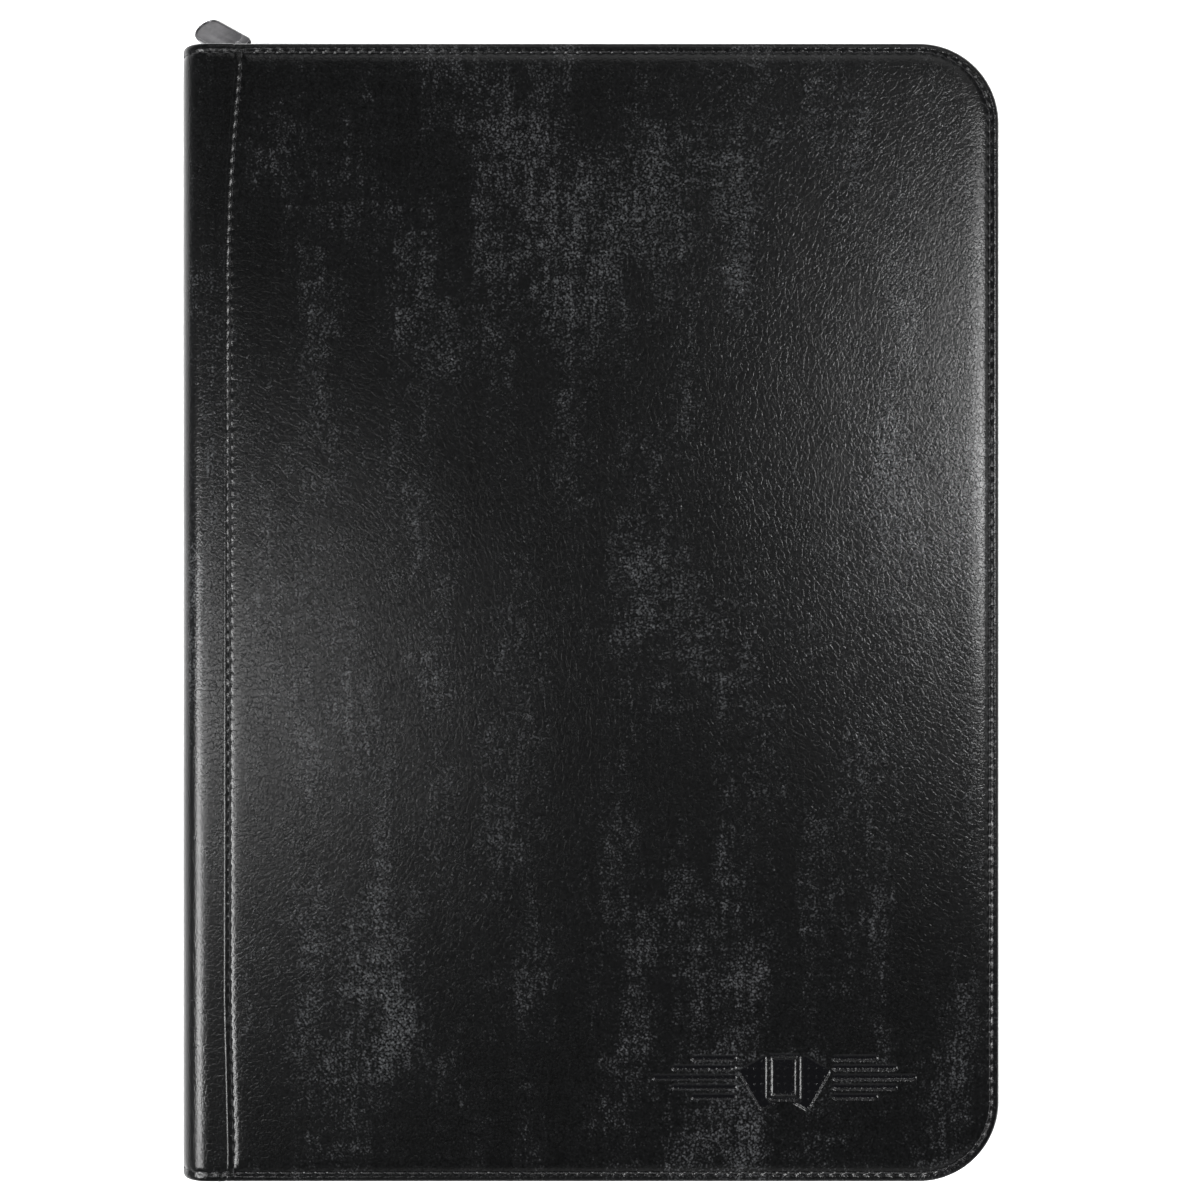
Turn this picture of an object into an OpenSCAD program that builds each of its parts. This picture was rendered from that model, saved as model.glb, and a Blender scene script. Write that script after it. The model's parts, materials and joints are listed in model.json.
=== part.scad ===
// Zip-up trading card binder with nine-pocket pages.
// It lies shut on its back cover: +X runs from the spine to the open edge, +Y to the top edge,
// and +Z up through the pages. The origin is the middle of the back cover's outer face.

/* [Binder] */
// Height along the spine
binder_h = 355; // [340:1:380]
// Width from the spine to the open edge
binder_w = 256; // [254:1:280]
// Thickness when shut
binder_t = 38; // [38:0.5:44]
// Radius of the two corners at the open edge
corner_r = 25; // [12:1:40]
// Radius of the leatherette's bend at each side of the spine
bend_r = 10; // [9:0.5:11]

/* [Cover layers] */
// Thickness of the leatherette
skin_t = 1; // [0.8:0.1:1.2]
// Thickness of the foam padding
foam_t = 1.6; // [1.2:0.1:1.8]
// Thickness of the stiff board
board_t = 2; // [1.5:0.1:2]
// Thickness of the lining cloth
lining_t = 0.4; // [0.3:0.1:0.5]

/* [Pages] */
// Number of pages, each with nine pockets a side
page_count = 20; // [2:2:20]
// Width of a page from its root to its free edge
page_w = 235; // [230:1:236]
// Height of a page
page_h = 295; // [290:1:300]
// Distance from one page's hinge line to the next
page_pitch = 1.35; // [1.3:0.01:1.35]
// Thickness through a pocket
pocket_t = 0.9; // [0.7:0.05:0.9]
// Thickness of the thin film at a page's root
root_t = 0.25; // [0.2:0.05:0.25]
// Width of that film
root_w = 12; // [12:0.5:16]

/* [Zip] */
// Distance from the cover's edge to the middle of the zip tape
zip_inset = 3.4; // [3.2:0.1:5]
// Thickness of the zip tape
tape_t = 0.8; // [0.6:0.1:1]
// Width of one side's coil
coil_w = 2.7; // [2.4:0.1:3]
// Thickness of the coil
coil_t = 2.4; // [2:0.1:2.4]
// Distance of the shut slider's middle from the spine's outer face
slider_from_spine = 20; // [18:0.5:40]

/* [Zip pull] */
// Width of the pull tab
tab_w = 9.5; // [8:0.1:10]
// Distance from the pull ring's middle to the middle of the tab's round tip
tab_reach = 21.5; // [18:0.5:22]
// Thickness of the pull tab
tab_t = 1.6; // [1.2:0.1:1.8]
// Direction in which the pull points, measured from +X
pull_heading = 136; // [100:1:140]
// Angle by which the tab hangs below level
tab_droop = 37; // [30:1:38]
// Angle by which the ring and tab lean about that direction, towards the top edge
pull_roll = 11; // [0:1:14]

/* [Hidden] */
$fn = 64;

function page_name(i) = str("page_", i < 10 ? "0" : "", i);
PAGE_NAMES = [for (i = [1 : page_count]) page_name(i)];

leatherette = "#232226";
lining_black = "#141416";
gunmetal = "#6a686d";

// The covers and the plane where they meet.
mid_z = binder_t / 2;
cover_t = skin_t + foam_t + board_t + lining_t;
spine_x = -binder_w / 2;
panel_x = spine_x + bend_r;      // where the flat of a cover starts
bend_gap = 0.2;                  // half of the split between the spine's and a cover's bend
bend_gap_angle = asin(bend_gap / bend_r);

// The inside of the spine.
spine_lining_x = spine_x + skin_t + board_t;
strip_x = spine_lining_x + lining_t;
strip_t = 4;
strip_over = 2;                  // the strip runs this far past the pages at each end
hinge_gap = 0.6;                 // from the strip to a page's hinge line
page_hinge_x = strip_x + strip_t + hinge_gap;
page_start = 1;                  // the film starts this far from its hinge line
sheet_t = 0.5;

// The pockets.
pocket_columns = 3;
pocket_rows = 3;
pocket_border = 4;
pocket_x = page_start + root_w + pocket_border / 2;
pocket_pitch_x = (page_w - pocket_x - pocket_border / 2) / pocket_columns;
pocket_pitch_y = (page_h - pocket_border) / pocket_rows;

// The zip.
zip_gap = 1.2;                   // between the two coils, where the slider's post runs
coil_low_z = mid_z - zip_gap / 2 - coil_w;
stop_l = 1.2;
stop_gap = 0.4;                  // between a stop and the first tooth
coil_x = panel_x + stop_l + stop_gap;
gusset_gap = 0.4;                // between a gusset and what it joins
zip_y = binder_h / 2 - zip_inset;

// The slider.
slider_x = spine_x + slider_from_spine;
slider_l = 10;
slider_w = 8.4;
plate_t = 1;
plate_gap = 3;                   // between the slider's two plates
post_l = 2.5;
post_w = 0.8;
post_from_end = 0.5;
bail_l = 7.4;
bail_w = 1.6;
bail_bar = 1;
bail_hole_l = 5;
bail_hole_h = 1.8;
plate_face_y = zip_y + plate_gap / 2 + plate_t;
bail_hole_y = plate_face_y + bail_hole_h / 2;

// The pull.
ring_r = 3.4;
ring_wire_r = 0.45;
eye_r = 0.9;
neck_l = 1.8;                    // from the eye's middle back to the tab's square end
shoulder_r = 1.5;
ring_x = slider_x + ring_r * cos(pull_heading);
ring_y = bail_hole_y + ring_r * sin(pull_heading);

// The outline of a cover, with its edges moved in and its spine side at from_x.
module cover_outline(inset, from_x) {
    r = corner_r - inset;
    x = binder_w / 2 - inset;
    y = binder_h / 2 - inset;
    translate([from_x, -y]) square([x - r - from_x, 2 * y]);
    translate([from_x, -y + r]) square([x - from_x, 2 * (y - r)]);
    for (side = [-1, 1]) translate([x - r, side * (y - r)]) circle(r);
}

// A slab with a cover's outline, from low_z to high_z.
module cover_layer(inset, from_x, low_z, high_z) {
    translate([0, 0, low_z]) linear_extrude(high_z - low_z) cover_outline(inset, from_x);
}

// A wall along the open edges, centred on the zip's line.
module zip_wall(thickness, low_z, high_z) {
    difference() {
        cover_layer(zip_inset - thickness / 2, panel_x, low_z, high_z);
        cover_layer(zip_inset + thickness / 2, panel_x - 1, low_z - 1, high_z + 1);
    }
}

// A shape drawn in X and Z, made as long as the spine.
module along_spine(length) {
    rotate([90, 0, 0]) linear_extrude(length, center = true) children();
}

// Part of the bend beside the back cover, between two angles about the bend's middle.
module bend_section(from_angle, to_angle) {
    reach = 2 * bend_r;
    translate([panel_x, bend_r]) intersection() {
        difference() {
            circle(bend_r);
            circle(bend_r - skin_t);
        }
        polygon([[0, 0], reach * [cos(from_angle), sin(from_angle)], reach * [cos(to_angle), sin(to_angle)]]);
    }
}

module flip_to_front() {
    translate([0, 0, binder_t]) mirror([0, 0, 1]) children();
}

// The cover's leatherette: a shallow tray for the padding and board, with its half of the spine bend.
module cover_skin() {
    color(leatherette) {
        difference() {
            cover_layer(0, panel_x, 0, cover_t);
            cover_layer(skin_t, panel_x + skin_t, skin_t, cover_t + 1);
        }
        along_spine(binder_h) bend_section(225 + bend_gap_angle, 270);
    }
}

module cover_foam() {
    color("dimgray") cover_layer(skin_t, panel_x + skin_t, skin_t, skin_t + foam_t);
}

module cover_board() {
    color("tan") cover_layer(skin_t, panel_x + skin_t, skin_t + foam_t, cover_t - lining_t);
}

module cover_lining() {
    color(lining_black) cover_layer(skin_t, panel_x + skin_t, cover_t - lining_t, cover_t);
}

module zip_tape() {
    color(lining_black) zip_wall(tape_t, cover_t, coil_low_z);
}

// A row of teeth, from just past the stops.
module zip_coil() {
    color("black") intersection() {
        zip_wall(coil_t, coil_low_z, mid_z - zip_gap / 2);
        translate([coil_x, -binder_h / 2, 0]) cube([binder_w, binder_h, binder_t]);
    }
}

module top_stop() {
    color(gunmetal) translate([panel_x, zip_y - coil_t / 2, coil_low_z])
        cube([stop_l, coil_t, coil_w]);
}

// The stop that ends both rows of teeth, at the bottom of the spine.
module bottom_stop() {
    stop_h = coil_w + zip_gap;
    color(gunmetal) translate([panel_x, -zip_y - coil_t / 2, coil_low_z]) cube([stop_l, coil_t, stop_h]);
}

// The cloth that closes the corner between the spine and the end of the tapes, at the top or the bottom.
module end_gusset(side) {
    gusset_x = strip_x + gusset_gap;
    gusset_w = binder_t - 2 * cover_t - 2 * gusset_gap;
    color(lining_black) translate([gusset_x, side * zip_y - tape_t / 2, mid_z - gusset_w / 2])
        cube([panel_x - gusset_gap - gusset_x, tape_t, gusset_w]);
}

module spine_skin() {
    color(leatherette) along_spine(binder_h) {
        translate([spine_x, bend_r]) square([skin_t, binder_t - 2 * bend_r]);
        bend_section(180, 225 - bend_gap_angle);
        translate([0, binder_t]) mirror([0, 1]) bend_section(180, 225 - bend_gap_angle);
    }
}

// An upright panel inside the spine.
module spine_panel(x, thickness, width, length) {
    translate([x, -length / 2, mid_z - width / 2]) cube([thickness, length, width]);
}

module spine_board() {
    width = binder_t - 2 * (bend_r + skin_t);
    color("tan") spine_panel(spine_x + skin_t, board_t, width, binder_h - 2 * skin_t);
}

module spine_lining() {
    width = binder_t - 2 * (cover_t + skin_t);
    color(lining_black) spine_panel(spine_lining_x, lining_t, width, binder_h - 4 * skin_t);
}

// The strip that holds every page by its root.
module binding_strip() {
    strip_w = page_count * page_pitch;
    color("#2a2a2e") spine_panel(strip_x, strip_t, strip_w, page_h + 2 * strip_over);
}

// A page: thin film at its root, then a sheet that carries nine pockets.
module page(i) {
    page_z = mid_z + (i - (page_count + 1) / 2) * page_pitch;
    sheet_x = page_start + root_w;
    color("#8c8f96") translate([page_hinge_x, 0, page_z]) {
        translate([page_start, -page_h / 2, -root_t / 2]) cube([root_w + 1, page_h, root_t]);
        translate([sheet_x, -page_h / 2, -sheet_t / 2]) cube([page_w - sheet_x, page_h, sheet_t]);
        for (column = [0 : pocket_columns - 1], row = [0 : pocket_rows - 1])
            translate([pocket_x + column * pocket_pitch_x + pocket_border / 2,
                       -page_h / 2 + pocket_border + row * pocket_pitch_y,
                       -pocket_t / 2])
                cube([pocket_pitch_x - pocket_border, pocket_pitch_y - pocket_border, pocket_t]);
    }
}

// One of the slider's plates, rounded at the end that trails as the zip shuts.
module slider_plate() {
    shoulder_l = slider_l - slider_w / 2;
    rotate([90, 0, 0]) linear_extrude(plate_t, center = true) {
        translate([-slider_l / 2, -slider_w / 2]) square([shoulder_l, slider_w]);
        translate([-slider_l / 2 + shoulder_l, 0]) circle(slider_w / 2);
    }
}

// The slider: two plates either side of the coils, joined by a post that parts them.
module slider_body() {
    post_span = plate_gap + 2 * plate_t;
    color(gunmetal) translate([slider_x, zip_y, mid_z]) {
        for (side = [-1, 1]) translate([0, side * (plate_gap + plate_t) / 2, 0]) slider_plate();
        translate([-slider_l / 2 + post_from_end, -post_span / 2, -post_w / 2])
            cube([post_l, post_span, post_w]);
    }
}

// The arch on the slider that the pull ring hangs from.
module slider_bail() {
    rise = bail_hole_h + bail_bar;
    round_r = 1.2;
    color(gunmetal) translate([slider_x, plate_face_y, mid_z]) linear_extrude(bail_w, center = true)
        difference() {
            union() {
                translate([-bail_l / 2, 0]) square([bail_l, rise - round_r]);
                translate([-bail_l / 2 + round_r, 0]) square([bail_l - 2 * round_r, rise]);
                for (side = [-1, 1])
                    translate([side * (bail_l / 2 - round_r), rise - round_r]) circle(round_r);
            }
            translate([-bail_hole_l / 2, -1]) square([bail_hole_l, bail_hole_h + 1]);
        }
}

// Places what is drawn with +X along the pull, and the ring in the plane of X and Z, at the ring's middle.
module pull_place() {
    translate([ring_x, ring_y, mid_z]) rotate([0, 0, pull_heading]) rotate([pull_roll, 0, 0]) children();
}

module pull_ring() {
    color(gunmetal) pull_place() rotate([90, 0, 0])
        rotate_extrude() translate([ring_r, 0]) circle(ring_wire_r);
}

// The tab's outline, with its eye at the origin and its round tip along +X.
module tab_outline() {
    tip_x = tab_reach - ring_r;
    shoulder_x = -neck_l + shoulder_r;
    difference() {
        union() {
            translate([-neck_l, -tab_w / 2 + shoulder_r]) square([shoulder_r, tab_w - 2 * shoulder_r]);
            translate([shoulder_x, -tab_w / 2]) square([tip_x - shoulder_x, tab_w]);
            for (side = [-1, 1]) translate([shoulder_x, side * (tab_w / 2 - shoulder_r)]) circle(shoulder_r);
            translate([tip_x, 0]) circle(tab_w / 2);
        }
        circle(eye_r);
    }
}

module pull_tab() {
    color(gunmetal) pull_place() rotate([0, tab_droop, 0])
        translate([ring_r, 0, 0]) linear_extrude(tab_t, center = true) tab_outline();
}

cover_skin();  // back_skin
cover_foam();  // back_foam
cover_board();  // back_board
cover_lining();  // back_lining
zip_tape();  // back_zip_tape
zip_coil();  // back_zip_coil
top_stop();  // back_top_stop
bottom_stop();
spine_skin();
spine_board();
spine_lining();
binding_strip();
end_gusset(1);  // top_gusset
end_gusset(-1);  // bottom_gusset
flip_to_front() cover_skin();  // front_skin
flip_to_front() cover_foam();  // front_foam
flip_to_front() cover_board();  // front_board
flip_to_front() cover_lining();  // front_lining
flip_to_front() zip_tape();  // front_zip_tape
flip_to_front() zip_coil();  // front_zip_coil
flip_to_front() top_stop();  // front_top_stop
slider_body();
slider_bail();
pull_ring();
pull_tab();
for (i = [1 : page_count]) page(i);
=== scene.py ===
"""The looks of a zip-up trading card binder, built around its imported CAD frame.

It lies shut on its back cover: +X runs from the spine to the open edge, +Y to the top edge, +Z up.
"Depth" always means the distance inwards from a cover's outer face. Profiles are in millimetres.
"""

import json
import math
import random

import bmesh
import bpy
from mathutils import Matrix, Vector, noise


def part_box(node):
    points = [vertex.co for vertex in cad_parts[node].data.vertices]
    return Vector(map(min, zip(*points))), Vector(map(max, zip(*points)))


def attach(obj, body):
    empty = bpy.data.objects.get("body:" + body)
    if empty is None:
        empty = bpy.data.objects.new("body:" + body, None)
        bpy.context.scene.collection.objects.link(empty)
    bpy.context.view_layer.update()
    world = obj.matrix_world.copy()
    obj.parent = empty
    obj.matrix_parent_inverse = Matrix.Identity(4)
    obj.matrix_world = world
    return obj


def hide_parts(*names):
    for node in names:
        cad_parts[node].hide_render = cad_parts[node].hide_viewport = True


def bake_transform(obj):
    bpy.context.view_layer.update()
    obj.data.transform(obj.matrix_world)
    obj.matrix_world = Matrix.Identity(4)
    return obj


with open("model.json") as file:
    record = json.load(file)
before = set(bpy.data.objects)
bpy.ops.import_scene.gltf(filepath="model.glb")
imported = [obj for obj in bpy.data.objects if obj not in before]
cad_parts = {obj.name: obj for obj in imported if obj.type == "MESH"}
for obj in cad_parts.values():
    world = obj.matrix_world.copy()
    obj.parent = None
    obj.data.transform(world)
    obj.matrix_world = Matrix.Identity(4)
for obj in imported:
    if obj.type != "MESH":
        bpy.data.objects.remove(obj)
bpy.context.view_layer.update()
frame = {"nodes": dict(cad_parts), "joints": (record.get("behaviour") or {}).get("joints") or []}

# ---------------------------------------------------------------- sizes, from the frame
MM = 0.001
_, cover_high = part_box("front_skin")
spine_low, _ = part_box("spine_skin")
gusset_low, gusset_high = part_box("top_gusset")
coil_low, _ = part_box("back_zip_coil")
strip_low, strip_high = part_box("binding_strip")
_, lining_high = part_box("back_lining")
spine_lining_low, spine_lining_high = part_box("spine_lining")
slider_low, slider_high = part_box("slider_body")
bail_low, bail_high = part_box("slider_bail")
JOINTS = {joint["name"]: joint for joint in frame["joints"]}
PAGES = sorted(name for name in frame["nodes"] if name.startswith("page_"))

HALF_H = cover_high.y
OPEN_X = cover_high.x
SPINE_X = spine_low.x
TOP_Z = cover_high.z
MID_Z = TOP_Z / 2
COVER_T = lining_high.z
CORNER_R = 25 * MM
BEND_R = 10 * MM
PANEL_X = SPINE_X + BEND_R
ZIP_Y = (gusset_low.y + gusset_high.y) / 2
ZIP_INSET = HALF_H - ZIP_Y

# ---------------------------------------------------------------- profiles of the leatherette
# The edge of a cover, from the turned-in hem, round the edge and over the stitch row: (inset, depth).
EDGE_PROFILE = [
    (1.2, 4.6), (1.0, 4.98), (0.5, 4.85), (0.15, 4.35), (0.0, 3.5), (0.0, 2.6), (0.1, 1.8), (0.38, 1.1),
    (0.8, 0.66), (1.35, 0.42), (1.9, 0.36), (2.35, 0.46), (2.7, 0.66), (3.1, 0.74), (3.5, 0.64),
    (3.9, 0.4), (4.8, 0.19), (6.5, 0.06), (9.0, 0.0),
]
# The folded edge that laps over the spine: (distance from the fold, depth).
FOLD_PROFILE = [
    (0.5, 4.6), (0.05, 1.6), (0.0, 1.0), (0.1, 0.55), (0.4, 0.24), (0.95, 0.12), (1.5, 0.2), (1.95, 0.4),
    (2.4, 0.5), (2.85, 0.38), (3.4, 0.16), (4.6, 0.04), (6.2, 0.0),
]
# The end of the spine's wrap, from its inner hem round to the outer face: (inset, depth).
WRAP_END_PROFILE = [
    (1.1, 1.0), (1.05, 4.1), (0.5, 4.25), (0.1, 3.9), (0.0, 3.2), (0.0, 1.7), (0.1, 0.95), (0.4, 0.42),
    (0.9, 0.16), (1.6, 0.06), (2.3, 0.12), (2.7, 0.24), (3.1, 0.3), (3.5, 0.22), (3.9, 0.09), (4.8, 0.03),
]
STITCH_INSET = 3.1 * MM
TOPSTITCH_INSET = 2.4 * MM
STITCH_PITCH = 3.6 * MM
RIM_PUCKER = 0.17 * MM           # how far each stitch pulls the leatherette in
FOLD_PUCKER = 0.13 * MM
WRAP_PUCKER = 0.1 * MM
# Each surface has its own unevenness.
FRONT_SEED, BACK_SEED, WRAP_SEED, LINING_SEED, TAPE_SEED = 1.0, 9.0, 17.0, 31.0, 41.0
COARSE_LOOPS = 2                 # a profile's innermost loops, which have the grid's own spacing
FINE_PER_COARSE = 4
GRID_STEP = 2.4 * MM
EMBLEM_PER_COARSE = 8


def smooth(t):
    """A smooth step from 0 to 1."""
    t = min(1.0, max(0.0, t))
    return t * t * (3 - 2 * t)


FOLD_SETBACK = 4.1 * MM          # from the bend's end to the cover's folded edge
TOP_DRIFT = 3.6 * MM             # how much farther in the folded edge runs at the top
BOTTOM_DRIFT = 1.1 * MM
DRIFT_STARTS_TOP = 105 * MM
DRIFT_STARTS_BOTTOM = 120 * MM


def fold_x(y):
    """Where the cover's folded edge runs: it drifts away from the spine at both ends, most at the top."""
    reach = HALF_H - EDGE_PROFILE[-1][0] * MM
    y = min(reach, max(-reach, y))
    top_share = max(0.0, (y - DRIFT_STARTS_TOP) / (reach - DRIFT_STARTS_TOP))
    bottom_share = max(0.0, (-y - DRIFT_STARTS_BOTTOM) / (reach - DRIFT_STARTS_BOTTOM))
    return PANEL_X + FOLD_SETBACK + TOP_DRIFT * top_share ** 1.8 + BOTTOM_DRIFT * bottom_share


def wave(x, y, seed):
    """The gentle unevenness of foam under leatherette, as extra depth."""
    broad = noise.noise(Vector((x / (50 * MM), y / (70 * MM), seed)))
    small = noise.noise(Vector((x / (13 * MM), y / (16 * MM), seed + 5.0)))
    return (0.1 * (1 + broad) + 0.035 * (1 + small)) * MM


def row_pull(distance, width=0.8 * MM):
    """How strongly a row of stitches pulls the leatherette in at that distance from it, 0 to 1."""
    return math.exp(-((distance / width) ** 2))


def near_hole(near_row, along, pitch):
    """1 at a needle hole, falling to 0 away from it and away from the row of stitches. The leatherette is
    painted dark there, as the holes' painted shade.
    """
    return near_row ** 2 * max(0.0, math.cos(2 * math.pi * along / pitch)) ** 2


# ---------------------------------------------------------------- mesh helpers
class MeshMaker:
    """Collects points and faces, and turns them into an object.

    A point's mark, 0 to 1, is for its shader.
    """

    def __init__(self):
        self.points = []
        self.faces = []
        self.marks = {}

    def add(self, x, y, z):
        self.points.append((x, y, z))
        return len(self.points) - 1

    def band(self, outer, inner):
        """Faces between two rows of points. The outer row may have several times more than the inner."""
        ratio = (len(outer) - 1) // (len(inner) - 1)
        for k in range(len(inner) - 1):
            fine = outer[k * ratio:(k + 1) * ratio + 1]
            self.faces.append([inner[k], inner[k + 1], *fine[::-1]])

    def bands(self, rows, closed=False):
        """Faces between each row and the next, and back to the first if closed."""
        pairs = zip(rows, rows[1:] + rows[:1] if closed else rows[1:])
        for first, second in pairs:
            self.band(first, second)

    def tube(self, rings):
        """A closed tube through rings of points, each a list of (x, y, z)."""
        rows = [[self.add(*p) for p in ring] for ring in rings]
        self.bands([[*row, row[0]] for row in rows])
        self.faces += [rows[0][::-1], rows[-1]]

    def bar(self, rows):
        """A closed bar: rows of points along it, one after another round its section."""
        self.bands(rows, closed=True)
        self.faces += [[row[0] for row in rows], [row[-1] for row in rows]]

    def sheet(self, over, under):
        """The two faces of a sheet, each a list of rows, and the four edges between them."""
        self.bands(over)
        self.bands(under)
        for edge in (0, -1):
            self.band(over[edge], under[edge])
            self.band([row[edge] for row in over], [row[edge] for row in under])

    def build(self, name, material, angle=50):
        mesh = bpy.data.meshes.new(name)
        mesh.from_pydata(self.points, [], self.faces)
        work = bmesh.new()
        work.from_mesh(mesh)
        bmesh.ops.recalc_face_normals(work, faces=work.faces)
        work.to_mesh(mesh)
        work.free()
        if self.marks:
            layer = mesh.attributes.new("mark", "FLOAT", "POINT")
            for index, value in self.marks.items():
                layer.data[index].value = value
        return finish_mesh(name, mesh, material, angle)


def finish_mesh(name, mesh, material, angle=50):
    """Makes the object, smooth where its faces meet at less than the angle."""
    mesh.name = name
    mesh.materials.clear()
    mesh.materials.append(material)
    piece = bpy.data.objects.new(name, mesh)
    bpy.context.scene.collection.objects.link(piece)
    mesh.set_sharp_from_angle(angle=math.radians(angle))
    for polygon in mesh.polygons:
        polygon.use_smooth = True
    return piece


def dress(piece, body, slot, *nodes):
    """Rides the piece on a body and hides the CAD nodes that it stands for. Its slot is not used."""
    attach(piece, body)
    if nodes:
        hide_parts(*nodes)
    return piece


class Rim:
    """The line along a cover's open edges: bottom edge, corner, side, corner, top edge."""

    def __init__(self, bottom_x, top_x, inset):
        self.bottom_x = bottom_x
        self.corner = Vector((OPEN_X - CORNER_R, HALF_H - CORNER_R))
        self.arc = (CORNER_R - inset) * math.pi / 2
        side = 2 * self.corner.y
        self.lengths = [self.corner.x - bottom_x, self.arc, side, self.arc, self.corner.x - top_x]
        self.total = sum(self.lengths)

    def at(self, q):
        """The point on the cover's outline and the outward normal, at distance q along the line."""
        bottom, arc, side, _, _ = self.lengths
        if q <= bottom:
            return Vector((self.bottom_x + q, -HALF_H)), Vector((0, -1))
        if q <= bottom + arc:
            return self.round_corner(-1, (q - bottom) / arc - 1)
        if q <= bottom + arc + side:
            return Vector((OPEN_X, q - bottom - arc - self.corner.y)), Vector((1, 0))
        if q <= bottom + arc + side + arc:
            return self.round_corner(1, (q - bottom - arc - side) / arc)
        return Vector((self.corner.x - (q - bottom - 2 * arc - side), HALF_H)), Vector((0, 1))

    def round_corner(self, side, quarter):
        angle = quarter * math.pi / 2
        normal = Vector((math.cos(angle), math.sin(angle)))
        return Vector((self.corner.x, side * self.corner.y)) + normal * CORNER_R, normal

    def distance_to(self, x, y):
        """The distance along the line at which a point of an inset line lies."""
        bottom, arc, side, _, _ = self.lengths
        if x > self.corner.x and abs(y) > self.corner.y:
            angle = math.atan2(abs(y) - self.corner.y, x - self.corner.x) / (math.pi / 2) * arc
            return bottom + arc - angle if y < 0 else bottom + arc + side + angle
        if x > self.corner.x:
            return bottom + arc + y + self.corner.y
        return x - self.bottom_x if y < 0 else bottom + 2 * arc + side + self.corner.x - x


def rounded_grid(inset, left, step):
    """Columns of points that fill a cover's outline, inset, with its left side where left(y) says."""
    radius = CORNER_R - inset
    corner_x = OPEN_X - CORNER_R
    corner_y = HALF_H - CORNER_R
    top = HALF_H - inset
    right = OPEN_X - inset
    columns = round((right - left(0)) / step)
    rows = 2 * round(top / step)
    grid = []
    for i in range(columns + 1):
        column = []
        for j in range(rows + 1):
            y = -top + 2 * top * j / rows
            x = left(y) + (right - left(y)) * i / columns
            if x > corner_x and abs(y) > corner_y:
                a = (x - corner_x) / radius
                b = (abs(y) - corner_y) / radius
                x = corner_x + radius * a * math.sqrt(1 - b * b / 2)
                y = math.copysign(corner_y + radius * b * math.sqrt(1 - a * a / 2), y)
            column.append((x, y))
        grid.append(column)
    return grid


def grid_border(grid):
    """A grid's border along the open edges: bottom row, right column, top row."""
    bottom = [column[0] for column in grid]
    top = [column[-1] for column in grid]
    return bottom + grid[-1][1:] + top[-2::-1]


def subdivided(values, parts):
    """The values with each gap split into that many parts."""
    fine = [values[0]]
    for first, second in zip(values, values[1:]):
        fine += [first + (second - first) * k / parts for k in range(1, parts + 1)]
    return fine


# ---------------------------------------------------------------- the pressed emblem
EMBLEM_CENTRE = Vector((OPEN_X - 67 * MM, -HALF_H + 33 * MM))
EMBLEM_HALF = Vector((42 * MM, 10 * MM))
EMBLEM_DEPTH = 0.38 * MM
# The emblem's own sizes are in millimetres from its centre.
CARD_HALF_W, CARD_HALF_H, CARD_CORNER_R = 5.0, 7.2, 1.1
CARD_BORDER_INSET, CARD_BORDER_HALF_W = 1.3, 0.3
CARD_GAP = 0.7
FAN_TILT = 30
FAN_PIVOT_Y = -13.0
BAR_HALF_L, BAR_TAPER, BAR_HALF_T = 13.0, 3.0, 0.8
BAR_START_X, BAR_PITCH = 15.0, 3.0


def rounded_box(x, y, half_w, half_h, radius):
    """The signed distance from a rounded rectangle, below 0 inside it."""
    dx = abs(x) - half_w + radius
    dy = abs(y) - half_h + radius
    return math.hypot(max(dx, 0), max(dy, 0)) + min(max(dx, dy), 0) - radius


def fanned_card(x, y, tilt):
    """The signed distance from a card that leans by tilt about a point below it."""
    angle = math.radians(tilt)
    above_pivot = y - FAN_PIVOT_Y
    along = x * math.sin(angle) + above_pivot * math.cos(angle)
    across = x * math.cos(angle) - above_pivot * math.sin(angle)
    return rounded_box(across, along + FAN_PIVOT_Y, CARD_HALF_W, CARD_HALF_H, CARD_CORNER_R)


def emblem_pressing(x, y):
    """How far the leatherette is pressed in, 0 to 1: three fanned blank cards between tapering bars."""
    x = (x - EMBLEM_CENTRE.x) / MM
    y = (y - EMBLEM_CENTRE.y) / MM
    middle = fanned_card(x, y, 0)
    border = abs(middle + CARD_BORDER_INSET) - CARD_BORDER_HALF_W
    nearest = max(middle, -border)
    for tilt in (-FAN_TILT, FAN_TILT):
        nearest = min(nearest, max(fanned_card(x, y, tilt), CARD_GAP - middle))
    for row in range(-2, 3):
        half_length = BAR_HALF_L - BAR_TAPER * abs(row)
        from_middle = abs(x) - BAR_START_X - half_length
        bar = rounded_box(from_middle, y - row * BAR_PITCH, half_length, BAR_HALF_T, BAR_HALF_T)
        nearest = min(nearest, bar)
    return smooth(0.5 - nearest / 0.5)


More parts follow.
